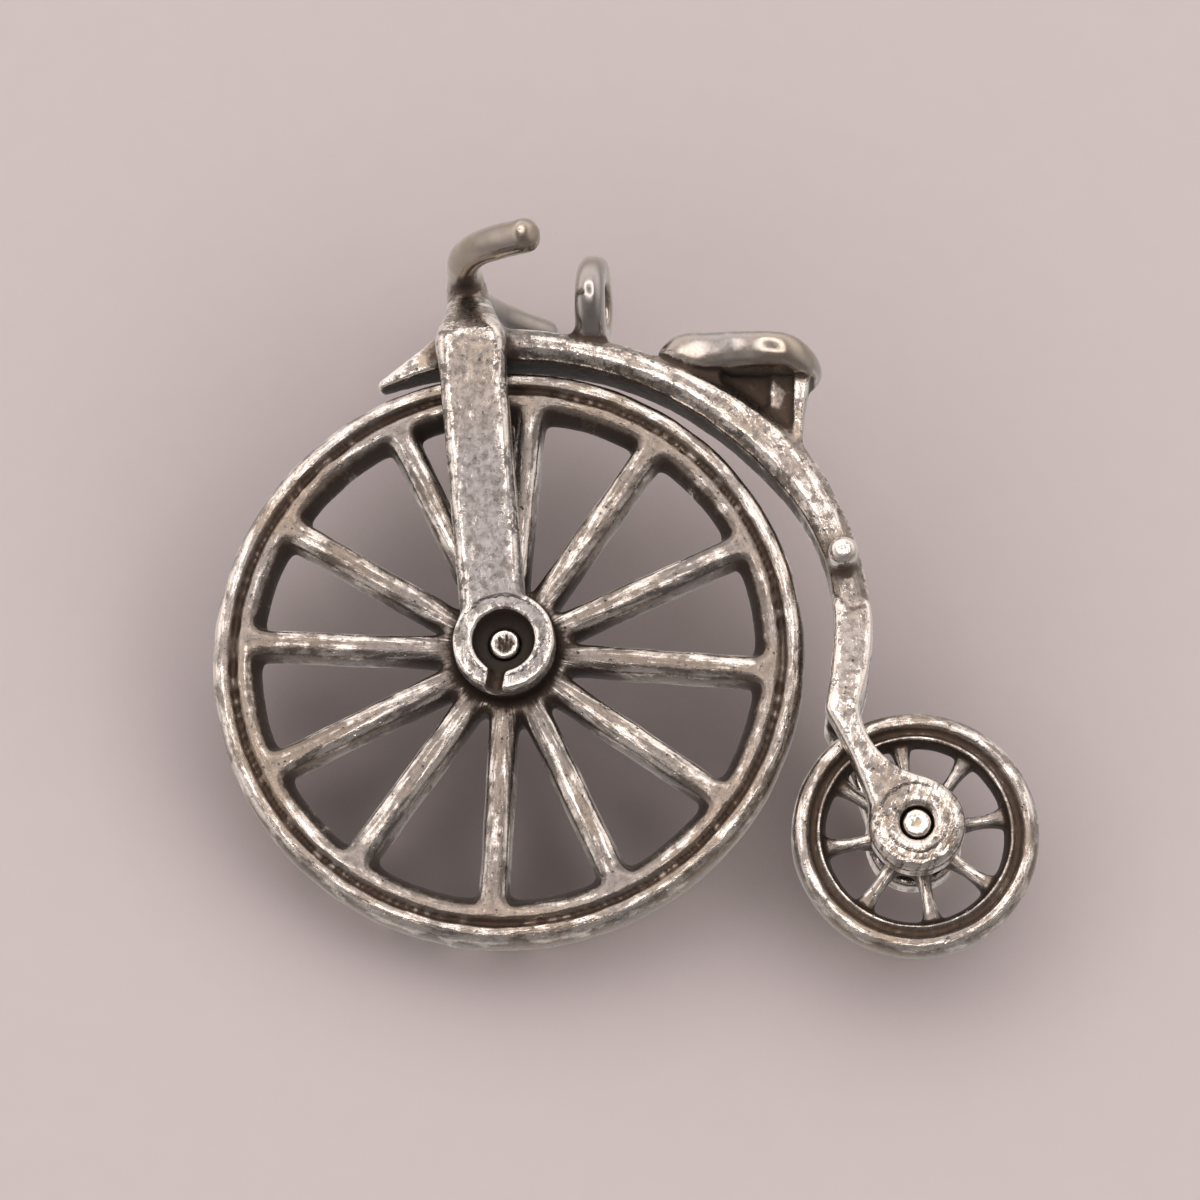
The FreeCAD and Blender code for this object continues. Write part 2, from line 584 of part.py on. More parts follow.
def saddle_rear_post(spine, seat):
    """Post from the backbone to the saddle's turned-down end, with a thin flange behind it."""
    front = SADDLE_POST_X
    back = SADDLE_REAR_X - SADDLE_LENGTH * 0.06
    waist = SADDLE_REAR_X - SADDLE_LENGTH * 0.10
    high = SADDLE_TOP_Z - SADDLE_THICKNESS
    tail = high - SADDLE_DROP
    low = backbone_slice(spine, waist).ZMax - BACKBONE_BEVEL
    rear_curve = arc_through(xz(back, tail), xz(waist, (tail + low) / 2), xz(waist, low))

    def upright(from_x, half):
        walls = lines([xz(waist, low), xz(from_x, low), xz(from_x, high), xz(back, high), xz(back, tail)])
        return edge_prism(walls + [rear_curve], -half, half)

    post = upright(front, SADDLE_POST_HALF).fuse(upright(waist - SADDLE_FLANGE, SADDLE_FLANGE_HALF))
    return largest(post.cut([spine, seat, inside_backbone()]).removeSplitter())


def inside_backbone():
    """The space on the wheel's side of the backbone's outer edge."""
    return disc(BACKBONE_TOP_R + BACKBONE_TOP_HEIGHT / 2, -BACKBONE_HALF_DEPTH, BACKBONE_HALF_DEPTH)


def bail(spine):
    """Upright wire ring across the backbone, its hole along the bicycle but for the twist."""
    centre = xz(BAIL_X, BAIL_Z)
    start = xz(BAIL_X - BAIL_WIDTH / 2, BAIL_Z)
    ring = Part.makeCylinder(BAIL_HOLE_R + BAIL_WALL, BAIL_WIDTH, start, V(1, 0, 0))
    ring = ring.makeChamfer(BAIL_BEVEL, [e for e in ring.Edges if len(e.Vertexes) == 1])
    ring = ring.cut(Part.makeCylinder(BAIL_HOLE_R, BAIL_WIDTH, start, V(1, 0, 0)))
    return largest(ring.rotated(centre, Z_AXIS, -BAIL_TWIST).cut(spine))


# ---- The whole charm ----------------------------------------------------------------------------

def all_nodes():
    spine = backbone()
    bar = handlebar()
    seat = largest(saddle().cut(spine))
    front_pin_half = FORK_INNER_Y + FORK_EYELET_FLOOR + FRONT_PIN_PROUD
    rear_pin_half = REAR_LEG_INNER_Y + REAR_EYELET_FLOOR + REAR_PIN_PROUD
    nodes = {
        "backbone": spine,
        "steering_head": steering_head(spine, bar),
        "handlebar": bar,
        "front_wheel": front_wheel(),
        "front_axle_pin": axle_pin(FRONT_PIN_R, front_pin_half, ORIGIN),
        "rear_wheel": rear_wheel(),
        "rear_axle_pin": axle_pin(REAR_PIN_R, rear_pin_half, REAR_AXLE),
        "saddle": seat,
        "saddle_front_support": saddle_front_support(spine, seat),
        "saddle_rear_post": saddle_rear_post(spine, seat),
        "step_peg": step(spine),
        "bail_loop": bail(spine),
    }
    for name, side in SIDES:
        nodes["fork_leg_" + name] = fork_leg(side)
        nodes["rear_fork_leg_" + name] = rear_leg(spine, side)
    return nodes


def main():
    os.makedirs("parts", exist_ok=True)
    for name, shape in all_nodes().items():
        solid = largest(shape).translated(V(-BAIL_X, 0, -BAIL_Z))
        print(name, len(shape.Solids), solid.isValid(), round(solid.Volume, 3))
        solid.exportStep("parts/" + name + ".step")
    print("front axle", round(-BAIL_X, 4), round(-BAIL_Z, 4))
    print("rear axle", round(REAR_AXLE.x - BAIL_X, 4), round(REAR_AXLE.z - BAIL_Z, 4))


main()
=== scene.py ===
"""Looks of the cast silver penny farthing charm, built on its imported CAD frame.

Each rigid part is given the skin of a worn casting: its CAD solids are joined, remeshed, softened
and filled at their corners, and the skin is then cut up again into one piece for each CAD node.
Meshes are worked on in millimetres and turned into metres at the end.
"""

import json
import math

import bmesh
import bpy
import numpy as np
from mathutils import Matrix, Quaternion, Vector, kdtree, noise


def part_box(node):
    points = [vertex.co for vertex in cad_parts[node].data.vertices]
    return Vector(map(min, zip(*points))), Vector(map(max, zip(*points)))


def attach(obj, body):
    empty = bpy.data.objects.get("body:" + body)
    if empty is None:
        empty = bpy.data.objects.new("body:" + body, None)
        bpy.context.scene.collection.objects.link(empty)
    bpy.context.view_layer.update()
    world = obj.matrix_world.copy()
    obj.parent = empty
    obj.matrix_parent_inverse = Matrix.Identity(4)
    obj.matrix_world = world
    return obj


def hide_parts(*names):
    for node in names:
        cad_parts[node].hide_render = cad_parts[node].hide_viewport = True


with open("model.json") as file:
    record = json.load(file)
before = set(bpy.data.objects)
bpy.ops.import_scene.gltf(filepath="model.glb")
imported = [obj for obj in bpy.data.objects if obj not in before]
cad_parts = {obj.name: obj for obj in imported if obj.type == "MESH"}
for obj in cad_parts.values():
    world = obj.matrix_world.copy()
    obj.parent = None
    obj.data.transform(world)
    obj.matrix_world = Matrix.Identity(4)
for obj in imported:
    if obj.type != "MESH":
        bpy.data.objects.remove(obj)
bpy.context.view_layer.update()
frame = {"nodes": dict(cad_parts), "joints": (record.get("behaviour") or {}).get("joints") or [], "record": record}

MM = 0.001
JOINTS = {joint["name"]: Vector(joint["pos_m"]) / MM for joint in frame["joints"]}
FRONT_AXLE = JOINTS["front_wheel_spin"]
REAR_AXLE = JOINTS["rear_wheel_spin"]
BODIES = frame["record"]["behaviour"]["bodies"]
SLOTS = {row["node"]: row["material_slot"] for row in frame["record"]["subparts"]}
PINS = ("front_axle_pin", "rear_axle_pin")
FORK_LEGS = ("fork_leg_left", "fork_leg_right")

# Lengths here and below are in millimetres. Wheels: axle and radius.
WHEELS = {"front_wheel": (FRONT_AXLE, 9.0), "rear_wheel": (REAR_AXLE, 3.67)}
# How far the side of the front tyre lies from the middle of the bicycle
TYRE_SIDE = 0.78
# Radius at which a wheel's rim begins, and at which the backbone's grain goes round the axle
RIM_INSIDE = {"front_wheel": 7.55, "rear_wheel": 2.55}
BACKBONE_INSIDE = 9.2
# Ring grooves: radius, half width and depth
GROOVES = {"front_wheel": (8.32, 0.19, 0.16), "rear_wheel": (3.035, 0.22, 0.08)}
GROOVE_DARKNESS_DEPTH = 0.20
# How much each rim's inner wall is darkened: partly patina, partly painted shade and a painted dark reflection of
# the shaded table behind it
INNER_WALL_DIRT_AND_SHADE = {"front_wheel": 0.8, "rear_wheel": 0.45}
# Recesses of the eyelets: axle, radius, distance of their mouth from the middle, and how much soiling and painted
# shade darken them
RECESSES = ((FRONT_AXLE, 0.98, 1.92, 1.4), (REAR_AXLE, 0.60, 1.80, 0.5))
RECESS_FLOOR = 1.2
# How many more times a worn node is smoothed, and how far that spreads into its neighbours
EXTRA_ROUNDING = {
    "saddle": 90, "steering_head": 60, "bail_loop": 10, "handlebar": 6,
    "rear_fork_leg_left": 24, "rear_fork_leg_right": 24,
}
SPREADING_NODE = "steering_head"
SPREAD_STEPS = {True: 30, False: 6}
# The part of the way to its neighbours' middle that a point moves at each smoothing
STEP = 0.6


# ---- Meshes --------------------------------------------------------------------------------------

def evaluated(mesh, kind, **settings):
    """A new mesh: this one after one modifier."""
    work = bpy.data.objects.new("work", mesh)
    bpy.context.scene.collection.objects.link(work)
    modifier = work.modifiers.new(kind, kind)
    for key, value in settings.items():
        setattr(modifier, key, value)
    graph = bpy.context.evaluated_depsgraph_get()
    made = bpy.data.meshes.new_from_object(work.evaluated_get(graph))
    bpy.data.objects.remove(work)
    return made


def remeshed(mesh, voxel):
    return evaluated(mesh, "REMESH", mode="VOXEL", voxel_size=voxel, adaptivity=0.0)


def in_millimetres(nodes):
    """One closed mesh in millimetres with the surfaces of all these CAD nodes."""
    shape = bmesh.new()
    for node in nodes:
        shape.from_mesh(frame["nodes"][node].data)
    bmesh.ops.scale(shape, vec=(1 / MM,) * 3, verts=shape.verts)
    bmesh.ops.remove_doubles(shape, verts=shape.verts, dist=1e-4)
    mesh = bpy.data.meshes.new("joined")
    shape.to_mesh(mesh)
    shape.free()
    return mesh


def points_of(mesh, what="co"):
    values = np.zeros(len(mesh.vertices) * 3)
    mesh.vertices.foreach_get(what, values)
    return values.reshape(-1, 3)


def put_points(mesh, points):
    mesh.vertices.foreach_set("co", points.ravel())
    mesh.update()


def edges_of(mesh):
    values = np.zeros(len(mesh.edges) * 2, int)
    mesh.edges.foreach_get("vertices", values)
    return values.reshape(-1, 2)


def averaged(points, edges, times):
    """Each point moved to the middle of its neighbours, this many times."""
    first, second = edges.T
    count = len(points)
    degree = np.bincount(edges.ravel(), minlength=count)[:, None]
    for _ in range(times):
        sums = [
            np.bincount(first, points[second, axis], count)
            + np.bincount(second, points[first, axis], count)
            for axis in range(points.shape[1])
        ]
        points = np.stack(sums, 1) / degree
    return points


def softened(points, edges, times, share=1.0):
    """Rounds edges and corners. Share is how much each point takes part, from 0 to 1."""
    for _ in range(times):
        points = points + STEP * share * (averaged(points, edges, 1) - points)
    return points


def grow(mesh, distance):
    """Moves the skin out along its normals, by one distance or by one for each point."""
    put_points(mesh, points_of(mesh) + distance * points_of(mesh, "normal"))


def lumps(points, size, seed):
    """Slow unevenness of a casting, from -1 to 1, at each point."""
    shift = Vector((seed, 2.3 * seed, 3.1 * seed))
    return np.array([noise.noise(Vector(point) / size + shift) for point in points])


def wear_down(mesh, times):
    """Rubs off what stands out, and leaves inner corners crisp."""
    edges = edges_of(mesh)
    for _ in range(times):
        points = points_of(mesh)
        step = STEP * (averaged(points, edges, 1) - points)
        inward = (step * points_of(mesh, "normal")).sum(1)[:, None] < 0
        put_points(mesh, points + step * inward)


def cast_skin(nodes, voxel, fillet, rounding):
    """The skin round these nodes in millimetres, with filled corners and rounded edges."""
    mesh = remeshed(in_millimetres(nodes), voxel)
    if fillet:
        grow(mesh, fillet)
        mesh = remeshed(mesh, voxel)
        grow(mesh, -fillet)
    put_points(mesh, softened(points_of(mesh), edges_of(mesh), rounding))
    grow(mesh, rounding * voxel * voxel * 0.12)
    return mesh


def soften_nodes(mesh, owner, nodes, voxel):
    """Rounds the nodes that are worn or cushioned further than their neighbours."""
    edges = edges_of(mesh)
    for node, times in EXTRA_ROUNDING.items():
        if node in nodes:
            spreads = node == SPREADING_NODE
            own_points = np.array([own == nodes.index(node) for own in owner], float)[:, None]
            share = averaged(own_points, edges, SPREAD_STEPS[spreads])
            share = share * ((own_points > 0) | spreads)
            put_points(mesh, softened(points_of(mesh), edges, times, share))
            grow(mesh, share * times * voxel * voxel * 0.35)


def roughen(mesh, nodes, unevenness, seed):
    """Slow unevenness of a casting, kept inside the box of the CAD solids."""
    points = points_of(mesh)
    heave = lumps(points, 1.1, seed) + 0.3 * lumps(points, 0.42, seed + 5)
    points = points + (unevenness * heave)[:, None] * points_of(mesh, "normal")
    boxes = [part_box(node) for node in nodes]
    low = np.min([box[0] for box in boxes], 0) / MM
    high = np.max([box[1] for box in boxes], 0) / MM
    put_points(mesh, np.clip(points, low, high))


def from_axle(points, axle):
    """The distance of each point from the axle's line, and the unit vector to it."""
    spread_out = (points - np.array(axle)) * (1.0, 0.0, 1.0)
    distance = np.maximum(np.linalg.norm(spread_out, axis=1), 1e-6)
    return distance, spread_out / distance[:, None]


def carve_groove(mesh, body):
    """Cuts the ring groove into both faces of a wheel, with finer faces across it."""
    radius, half_width, depth = GROOVES[body]
    axle = WHEELS[body][0]
    distance, _ = from_axle(points_of(mesh), axle)
    facing = abs(points_of(mesh, "normal")[:, 1])
    near = (abs(distance - radius) < 1.5 * half_width) & (facing > 0.6)
    shape = bmesh.new()
    shape.from_mesh(mesh)
    shape.verts.ensure_lookup_table()
    crossing = []
    for edge in shape.edges:
        one, other = (vertex.index for vertex in edge.verts)
        across = abs(distance[one] - distance[other]) > 0.6 * edge.calc_length()
        if near[one] and near[other] and across:
            crossing.append(edge)
    bmesh.ops.subdivide_edges(shape, edges=crossing, cuts=1, use_grid_fill=True)
    shape.to_mesh(mesh)
    shape.free()
    points = points_of(mesh)
    normals = points_of(mesh, "normal")
    distance, _ = from_axle(points, axle)
    off = distance - radius + 0.03 * lumps(points, 0.6, 3)
    dip = 0.5 + 0.5 * np.cos(math.pi * np.clip(off / half_width, -1.0, 1.0))
    dip *= abs(normals[:, 1]) > 0.5
    points = points - (dip * depth)[:, None] * normals
    put_points(mesh, softened(points, edges_of(mesh), 4, np.minimum(1.0, 2.0 * dip)[:, None]))
    store(mesh, "groove", dip * depth / GROOVE_DARKNESS_DEPTH)


def mark_grain(mesh, body):
    """Stores two sets of coordinates, which change slowly along the metal's grain and fast across
    it: round the axle, for rims and the backbone, and along the spokes or fork legs. Also stores how
    much of the first one shows."""
    points = points_of(mesh)
    distance, unit = from_axle(points, WHEELS.get(body, WHEELS["front_wheel"])[0])
    round_axle = unit * distance[:, None] + np.outer(distance * 5.0, (0.0, 1.0, 0.0))
    if body in WHEELS:
        lengthwise = unit * 20.0 + np.outer(distance * 0.5, (0.0, 1.0, 0.0))
    else:
        lengthwise = points * (5.0, 5.0, 0.8)
    for name, values in (("grain_round", round_axle), ("grain_along", lengthwise)):
        attribute = mesh.attributes.new(name, "FLOAT_VECTOR", "POINT")
        attribute.data.foreach_set("vector", values.astype(np.float32).ravel())
    inside = RIM_INSIDE.get(body, BACKBONE_INSIDE)
    store(mesh, "roundness", np.clip((distance - inside) / 0.5, 0.0, 1.0))


def store(mesh, name, values):
    mesh.attributes.new(name, "FLOAT", "POINT").data.foreach_set("value", values.astype(np.float32))


def mark_wear(mesh, voxel):
    """Stores how far each point stands out from its surroundings, close by and further off."""
    points = points_of(mesh)
    normals = points_of(mesh, "normal")
    edges = edges_of(mesh)
    near = averaged(points, edges, 4)
    far = averaged(near, edges, 40)
    store(mesh, "ridge", ((points - near) * normals).sum(1) / (voxel * 0.1))
    store(mesh, "rise", ((points - far) * normals).sum(1) / (voxel * 1.0))


def nearest_node(mesh, nodes):
    """For each point, the index of the CAD node whose surface is nearest."""
    samples = []
    for index, node in enumerate(nodes):
        samples += [(Vector(p), index) for p in points_of(remeshed(in_millimetres([node]), 0.16))]
    tree = kdtree.KDTree(len(samples))
    for number, (point, _) in enumerate(samples):
        tree.insert(point, number)
    tree.balance()
    return [samples[tree.find(point)[1]][1] for point in points_of(mesh)]


def majority(owner, count, edges):
    """Gives stray points to the node that most of their neighbours belong to."""
    return averaged(np.eye(count)[owner], edges, 10).argmax(1)


def mark_dirt_and_shade(mesh, body, polished=None):
    """Stores dirt_and_shade: soiling and patina on the inner and lower sides, which nothing rubs, and at
    the edge of each polished node, together with painted shade on the sides and undersides, round the
    hub, on the rims' inner walls and in the eyelets' recesses."""
    points = points_of(mesh)
    normals = points_of(mesh, "normal")
    # Painted shade, partly patina: faces turned away from the front, such as the spokes' sides, are darkened.
    aside = np.clip(2.2 * (1.0 - np.abs(normals[:, 1])), 0.0, 1.0)
    if body in WHEELS:
        axle, radius = WHEELS[body]
        distance, unit = from_axle(points, axle)
        outward = (unit * normals).sum(1)
        # Painted shade, partly patina: the corners round the hub and the rims' inner walls, which mirror the
        # shaded table, are darkened.
        near_hub = np.clip((0.36 - distance / radius) / 0.12, 0.0, 1.0)
        inner_wall = np.clip(-1.5 * outward, 0.0, 1.0) * (distance > radius * 0.6)
        dirt_and_shade = aside + 1.1 * near_hub + INNER_WALL_DIRT_AND_SHADE[body] * inner_wall
        dirt_and_shade -= 1.4 * np.clip(outward, 0.0, 1.0) * (distance > radius * 0.8)
    else:
        # Painted shade, partly patina: undersides are darkened.
        dirt_and_shade = aside * np.clip(-normals[:, 2], 0.0, 1.0)
    # Painted shade, partly soiling: the eyelets' recesses are darkened.
    for axle, reach, depth, amount in RECESSES:
        distance, _ = from_axle(points, axle)
        height = np.abs(points[:, 1])
        inside = (distance < reach) & (height < depth) & (height > RECESS_FLOOR)
        dirt_and_shade = np.maximum(dirt_and_shade, amount * inside)
    if polished is not None:
        blurred = averaged(polished, edges_of(mesh), 14)[:, 0]
        dirt_and_shade = dirt_and_shade + 1.5 * np.minimum(blurred, 1.0 - blurred)
    store(mesh, "dirt_and_shade", averaged(dirt_and_shade[:, None], edges_of(mesh), 2)[:, 0])


def mark_cool(mesh, owner, nodes):
    """Stores how cool and flat the grey is: the fork's legs, from some way below their top."""
    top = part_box(FORK_LEGS[0])[1].z / MM
    below = np.clip((top - 1.2 - points_of(mesh)[:, 2]) / 2.5, 0.0, 1.0)
    on_leg = np.array([nodes[own] in FORK_LEGS for own in owner])
    store(mesh, "cool", below * on_leg)


def part_of(mesh, owner, index, name):
    """The part of the skin that belongs to one node, left open where it meets its neighbours.
    It keeps the whole skin's normals, so that no seam shows between them."""
    shape = bmesh.new()
    shape.from_mesh(mesh)
    shape.faces.ensure_lookup_table()
    number = shape.verts.layers.int.new("number")
    for vertex in shape.verts:
        vertex[number] = vertex.index
    shape.verts.ensure_lookup_table()
    others = [
        face for face in shape.faces
        if min(owner[vertex.index] for vertex in face.verts) != index
    ]
    bmesh.ops.delete(shape, geom=others, context="FACES")
    for face in shape.faces:
        face.smooth = True
    kept = [vertex[number] for vertex in shape.verts]
    shape.verts.layers.int.remove(number)
    part = bpy.data.meshes.new(name)
    shape.to_mesh(part)
    shape.free()
    part.normals_split_custom_set_from_vertices(points_of(mesh, "normal")[kept])
    return part


def piece(mesh, node, body, material):
    """Puts a finished mesh in place of its CAD node."""
    mesh.transform(Matrix.Scale(MM, 4))
    made = bpy.data.objects.new(node + "_skin", mesh)
    bpy.context.scene.collection.objects.link(made)
    mesh.materials.clear()
    mesh.materials.append(material)
    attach(made, body)
    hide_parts(node)
    return made


# ---- Materials -----------------------------------------------------------------------------------

BARE_SILVER = (0.86, 0.80, 0.74)


class Nodes:
    """Short ways to add and join shader nodes."""

    def __init__(self, tree):
        self.tree = tree
        tree.nodes.clear()

    def add(self, kind, inputs=(), **settings):
        node = self.tree.nodes.new("ShaderNode" + kind)
        for key, value in settings.items():
            setattr(node, key, value)
        for key, value in dict(inputs).items():
            if isinstance(value, bpy.types.NodeSocket):
                self.tree.links.new(value, node.inputs[key])
            else:
                node.inputs[key].default_value = value
        return node

    def math(self, operation, first, second=0.0, clamp=False):
        inputs = {0: first, 1: second}
        return self.add("Math", inputs, operation=operation, use_clamp=clamp).outputs[0]

    def spread(self, value, low, high, to_low=0.0, to_high=1.0):
        """The value from low to high, moved to another range and kept in it."""
        inputs = {
            "Value": value, "From Min": low, "From Max": high, "To Min": to_low, "To Max": to_high,
        }
        return self.add("MapRange", inputs, clamp=True).outputs["Result"]

    def mix(self, factor, first, second):
        node = self.add("Mix", data_type="RGBA", clamp_factor=True)
        self.tree.links.new(factor, node.inputs["Factor"])
        for socket, value in ((node.inputs[6], first), (node.inputs[7], second)):
            if isinstance(value, bpy.types.NodeSocket):
                self.tree.links.new(value, socket)
            else:
                socket.default_value = (*value, 1.0)
        return node.outputs[2]

    def noise(self, where, scale, detail=3.0, roughness=0.55):
        inputs = {"Vector": where, "Scale": scale, "Detail": detail, "Roughness": roughness}
        return self.add("TexNoise", inputs).outputs["Fac"]


def silver(name, patina, tarnish_and_shade, wear, grime_and_shade_amount, polish, pitting, rings=(), patchy=0.20,
           stand_out=0.60, veined=0.0, flecked=1.0, dull_spokes=0.0):
    """Aged cast silver: bright where it is rubbed, grey on its flats and brown in its recesses.
    The brown is partly patina and partly painted shade, laid by ambient occlusion and dirt_and_shade.

    Patina and tarnish_and_shade are the colours of its flats and recesses; the second is also the
    colour of the painted shade. Wear, grime_and_shade_amount, polish and pitting say how much there
    is of each. Patchy and stand_out say how far wear follows slow blotches and what stands out.
    Veined adds thin bright lines, flecked scales the fine mottle, and dull_spokes darkens what lies
    inside a wheel's rim. Each ring is a shallow dip round an axle, in the bump only: centre, radius,
    half width and depth."""
    material = bpy.data.materials.new(name)
    material.use_nodes = True
    n = Nodes(material.node_tree)
    metres = n.add("TexCoord").outputs["Object"]
    where = n.add("VectorMath", {0: metres, 3: 1 / MM}, operation="SCALE").outputs[0]
    ridge = n.add("Attribute", attribute_name="ridge").outputs["Fac"]
    rise = n.add("Attribute", attribute_name="rise").outputs["Fac"]
    slow = n.noise(where, 0.30, 2.0)
    blotch = n.noise(where, 1.15, 4.0, 0.62)
    mottle = n.noise(where, 4.0, 3.0, 0.60)
    speckle = n.noise(where, 11.0, 2.0, 0.5)
    dirt_and_shade = n.add("Attribute", attribute_name="dirt_and_shade").outputs["Fac"]
    groove = n.add("Attribute", attribute_name="groove").outputs["Fac"]
    round_axle = n.add("Attribute", attribute_name="grain_round").outputs["Vector"]
    lengthwise = n.add("Attribute", attribute_name="grain_along").outputs["Vector"]
    roundness = n.add("Attribute", attribute_name="roundness").outputs["Fac"]
    along_streaks = n.noise(lengthwise, 1.0, 4.0, 0.62)
    round_streaks = n.noise(round_axle, 1.0, 4.0, 0.62)
    streaks = n.add("Mix", {"Factor": roundness, 2: along_streaks, 3: round_streaks}).outputs[0]
    cool = n.add("Attribute", attribute_name="cool").outputs["Fac"]
    # Painted shade: ambient occlusion within 1.6 mm darkens the colour in corners and recesses, partly standing
    # for patina and partly for shade.
    shade = n.add("AmbientOcclusion", {"Distance": 1.6 * MM}, samples=6).outputs["AO"]
    voronoi = n.add("TexVoronoi", {"Vector": where, "Scale": 5.0, "Randomness": 1.0})
    cells = voronoi.outputs["Distance"]
    pits = n.math("MULTIPLY", n.spread(cells, 0.03, 0.24, 1.0, 0.0), n.spread(mottle, 0.46, 0.66))

    veins = n.spread(n.math("ABSOLUTE", n.math("SUBTRACT", mottle, 0.5)), 0.0, 0.045, 1.0, 0.0)
    veins = n.math("MULTIPLY", veins, n.spread(blotch, 0.40, 0.55))

    carved = 0.0
    for centre, radius, half_width, depth in rings:
        offset = n.add("VectorMath", {0: where, 1: centre}, operation="SUBTRACT").outputs[0]
        flat = n.add("VectorMath", {0: offset, 1: (1.0, 0.0, 1.0)}, operation="MULTIPLY").outputs[0]
        length = n.add("VectorMath", {0: flat}, operation="LENGTH").outputs["Value"]
        off = n.math("ABSOLUTE", n.math("SUBTRACT", length, radius))
        off = n.math("ADD", off, n.spread(mottle, 0.30, 0.70, -0.035, 0.035))
        dip = n.spread(off, half_width * 0.55, half_width * 1.25, depth, 0.0)
        carved = n.math("ADD", dip, carved)

    # grime_and_shade says where the tarnish_and_shade colour covers the metal: patina from hollows, blotches,
    # streaks, the groove and the rings, and painted shade from ambient occlusion and dirt_and_shade.
    grime_and_shade = n.math("MULTIPLY", rise, -0.62)
    grime_and_shade = n.math("ADD", grime_and_shade, n.math("MULTIPLY", ridge, -0.10))
    grime_and_shade = n.math("ADD", grime_and_shade, n.spread(shade, 0.25, 0.95, 0.85, -0.12))
    uneven = min(1.0, pitting)
    grime_and_shade = n.math("ADD", grime_and_shade, n.spread(blotch, 0.30, 0.70, -0.22 * uneven, 0.22 * uneven))
    grime_and_shade = n.math("ADD", grime_and_shade, n.spread(mottle, 0.30, 0.70, -0.17 * uneven, 0.17 * uneven))
    grime_and_shade = n.math("ADD", grime_and_shade, n.spread(speckle, 0.30, 0.70, -0.10 * uneven, 0.10 * uneven))
    grime_and_shade = n.math("ADD", grime_and_shade, n.spread(streaks, 0.34, 0.66, -0.24 * uneven, 0.24 * uneven))
    grime_and_shade = n.math("ADD", grime_and_shade, n.math("MULTIPLY", carved, 0.9))
    grime_and_shade = n.math("ADD", grime_and_shade, n.math("MULTIPLY", groove, 0.8))
    grime_and_shade = n.math("ADD", grime_and_shade, n.math("MULTIPLY", dirt_and_shade, 0.78))
    grime_and_shade = n.math("ADD", grime_and_shade, n.math("MULTIPLY", pits, 0.14 * pitting))
    grime_and_shade = n.spread(grime_and_shade, 0.50 - grime_and_shade_amount, 0.88 - grime_and_shade_amount)

    worn = n.math("ADD", n.math("MULTIPLY", rise, stand_out), n.math("MULTIPLY", ridge, 0.26))
    worn = n.math("ADD", worn, n.math("MULTIPLY", cool, -0.03))
    worn = n.math("ADD", worn, n.spread(blotch, 0.34, 0.66, patchy, -patchy))
    fine = uneven * flecked
    worn = n.math("ADD", worn, n.spread(mottle, 0.30, 0.70, 0.17 * fine, -0.17 * fine))
    worn = n.math("ADD", worn, n.spread(speckle, 0.30, 0.70, 0.12 * fine, -0.12 * fine))
    worn = n.math("ADD", worn, n.spread(streaks, 0.34, 0.66, 0.32 * uneven, -0.32 * uneven))
    worn = n.math("ADD", worn, n.math("MULTIPLY", veins, veined))
    worn = n.math("ADD", worn, n.spread(roundness, 0.0, 1.0, -dull_spokes, 0.0))
    worn = n.spread(worn, 0.42 - wear, 0.78 - wear)

    warm = [patina[0] * 1.02, patina[1] * 0.93, patina[2] * 0.80]
    neutral = [0.96 * c for c in patina]
    colour = n.mix(n.spread(slow, 0.40, 0.60), warm, neutral)
    colour = n.mix(cool, colour, [0.93 * patina[0], 0.98 * patina[1], 1.05 * patina[2]])
    fleck = n.spread(mottle, 0.40, 0.62, 0.0, fine)
    colour = n.mix(fleck, colour, [0.55 * c for c in patina])
    on_spokes = n.spread(roundness, 0.0, 1.0, 2.5 * dull_spokes, 0.0)
    colour = n.mix(on_spokes, colour, [0.45 * c for c in patina])
    colour = n.mix(worn, colour, BARE_SILVER)
    colour = n.mix(grime_and_shade, colour, tarnish_and_shade)
    # Painted shade: the most occluded and shaded places go nearly black, partly with soiling.
    deepest_shade_and_soiling = n.math("ADD", n.spread(shade, 0.25, 0.80, 0.75, 0.0), n.math("MULTIPLY", dirt_and_shade, 0.60))
    colour = n.mix(n.math("MULTIPLY", deepest_shade_and_soiling, grime_and_shade, clamp=True), colour, [0.28 * c for c in tarnish_and_shade])

    rough = n.math("ADD", n.spread(worn, 0.0, 1.0, 0.33 - polish, 0.19 - polish * 0.5),
                   n.math("MULTIPLY", grime_and_shade, 0.30))
    rough = n.math("ADD", rough, n.spread(speckle, 0.3, 0.7, -0.06, 0.06), clamp=True)

    height = n.math("MULTIPLY", pits, -0.45 * pitting)
    height = n.math("ADD", height, n.math("MULTIPLY", mottle, 0.20 * pitting * flecked))
    height = n.math("ADD", height, n.math("MULTIPLY", blotch, 0.40 * pitting))
    height = n.math("ADD", height, n.math("MULTIPLY", speckle, 0.02 * pitting))
    height = n.math("ADD", height, n.math("MULTIPLY", streaks, -0.34 * pitting))
    height = n.math("SUBTRACT", height, n.math("MULTIPLY", carved, 1.6))
    height = n.math("MULTIPLY", height, n.spread(cool, 0.0, 1.0, 1.0, 0.80))
    bump = n.add("Bump", {"Height": height, "Strength": 1.0, "Distance": 0.07 * MM})

    shader = n.add("BsdfPrincipled", {
        "Base Color": colour,
        "Metallic": n.spread(grime_and_shade, 0.3, 1.0, 1.0, 0.45),
        "Roughness": rough,
        "Normal": bump.outputs["Normal"],
    })
    n.add("OutputMaterial", {"Surface": shader.outputs[0]})
    return material


